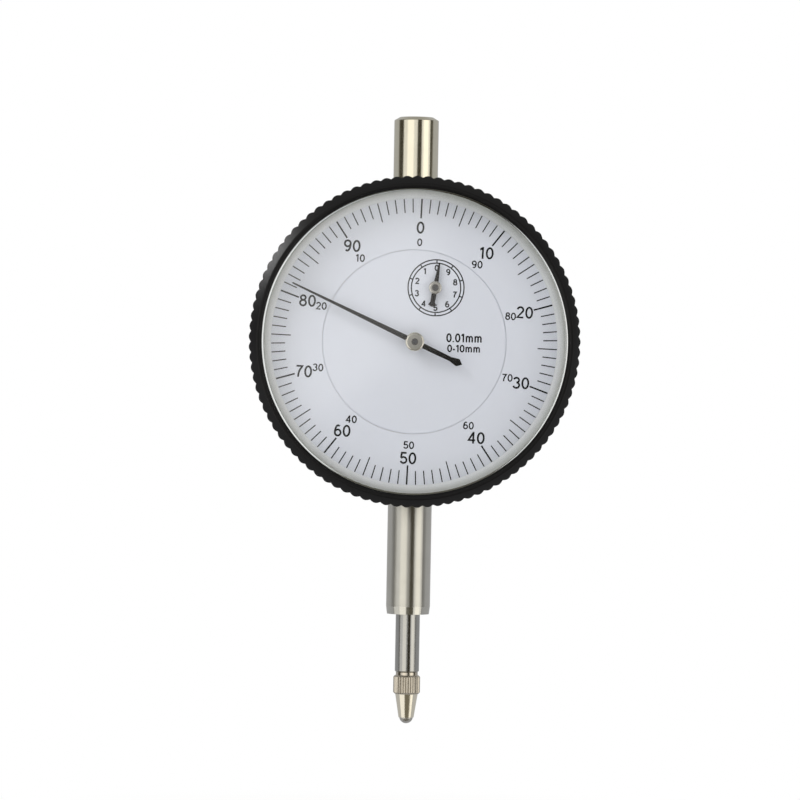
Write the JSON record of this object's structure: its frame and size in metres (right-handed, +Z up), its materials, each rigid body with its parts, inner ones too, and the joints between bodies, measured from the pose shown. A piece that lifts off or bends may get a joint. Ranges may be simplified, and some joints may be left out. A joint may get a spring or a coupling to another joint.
{
  "type": "dial indicator",
  "caption": "Mechanical dial indicator: round white dial with a main pointer and a turn counter, black lobed bezel, clamping stem and a sprung sliding spindle with a ball contact.",
  "frame": {"origin": "on the stem's axis, halfway along its clamping length", "axes": "+Z up along the stem towards the dial, the dial faces -Y, +X to the right of someone reading it"},
  "size_m": [0.0596, 0.0365, 0.1105],
  "materials": {
    "case_paint": "satin silver paint",
    "screw_steel": "bright",
    "stem_steel": "fine ground",
    "bush_bronze": "turned",
    "cap_nickel": "polished nickel plate",
    "spring_steel": "drawn wire",
    "plate_brass": "satin",
    "blued_steel": "blued",
    "jewel_ruby": "polished ruby",
    "dial_white": "matt white lacquer",
    "spindle_steel": "ground and polished",
    "contact_nickel": "nickel plate, knurled collar",
    "ball_steel": "hardened, polished",
    "pinion_steel": "polished",
    "wheel_brass": "satin",
    "pointer_black": "satin black lacquer",
    "hub_nickel": "nickel plate",
    "bezel_black": "satin black anodised",
    "crystal_clear": "clear acrylic",
    "slope_grey": "satin light grey lacquer"
  },
  "bodies": {
    "case": {"case": "case_paint", "back_cover": "case_paint", "back_cover_screws": "screw_steel", "stem": "stem_steel", "stem_bush": "bush_bronze", "upper_guide_tube": "bush_bronze", "top_cap": "cap_nickel", "bezel_wire": "spring_steel", "main_plate": "plate_brass", "main_plate_screws": "screw_steel", "bridge_plate": "plate_brass", "plate_pillars": "plate_brass", "bridge_screws": "blued_steel", "pinion_cock": "plate_brass", "cock_pillars": "plate_brass", "cock_screws": "blued_steel", "front_jewels": "jewel_ruby", "rear_jewels": "jewel_ruby", "inner_dial": "dial_white", "spindle_guide": "screw_steel", "guide_screws": "blued_steel", "spring_post": "screw_steel", "return_spring": "spring_steel", "hairspring": "blued_steel", "hairspring_stud": "screw_steel"},
    "spindle": {"spindle": "spindle_steel", "guide_pin": "screw_steel", "contact_point": "contact_nickel", "contact_ball": "ball_steel"},
    "rack_gear": {"rack_pinion": "pinion_steel", "rack_wheel": "wheel_brass"},
    "pointer": {"centre_pinion": "pinion_steel", "main_pointer": "pointer_black", "main_pointer_hub": "hub_nickel"},
    "counter": {"counter_arbor": "pinion_steel", "counter_wheel": "wheel_brass", "hairspring_collet": "wheel_brass", "counter_pointer": "pointer_black", "counter_pointer_hub": "hub_nickel"},
    "bezel": {"bezel": "bezel_black", "crystal": "crystal_clear", "slope_ring": "slope_grey", "dial_ring": "dial_white"}
  },
  "joints": [
    {"name": "spindle_slide", "type": "slide", "parent": "case", "child": "spindle", "axis": [0, 0, 1], "range_m": [0, 0.0104], "stiffness_N_per_m": 60, "springref_m": -0.008, "deforming": ["return_spring"]},
    {"name": "rack_gear_spin", "type": "hinge", "parent": "case", "child": "rack_gear", "pos_m": [-0.00294, 0, 0.02825], "axis": [0, 1, 0], "range_deg": [-380, 0]},
    {"name": "pointer_spin", "type": "hinge", "parent": "case", "child": "pointer", "pos_m": [0, 0, 0.03828], "axis": [0, 1, 0], "range_deg": [0, 3800]},
    {"name": "counter_spin", "type": "hinge", "parent": "case", "child": "counter", "pos_m": [0.00357, 0, 0.0481], "axis": [0, 1, 0], "range_deg": [-380, 0]},
    {"name": "bezel_turn", "type": "hinge", "parent": "case", "child": "bezel", "pos_m": [0, 0, 0.03828], "axis": [0, 1, 0], "continuous": true}
  ],
  "couplings": [
    {"joint": "rack_gear_spin", "follows": "spindle_slide", "rad_per_m": -628.32},
    {"joint": "pointer_spin", "follows": "spindle_slide", "rad_per_m": 6283.2},
    {"joint": "counter_spin", "follows": "spindle_slide", "rad_per_m": -628.32}
  ]
}
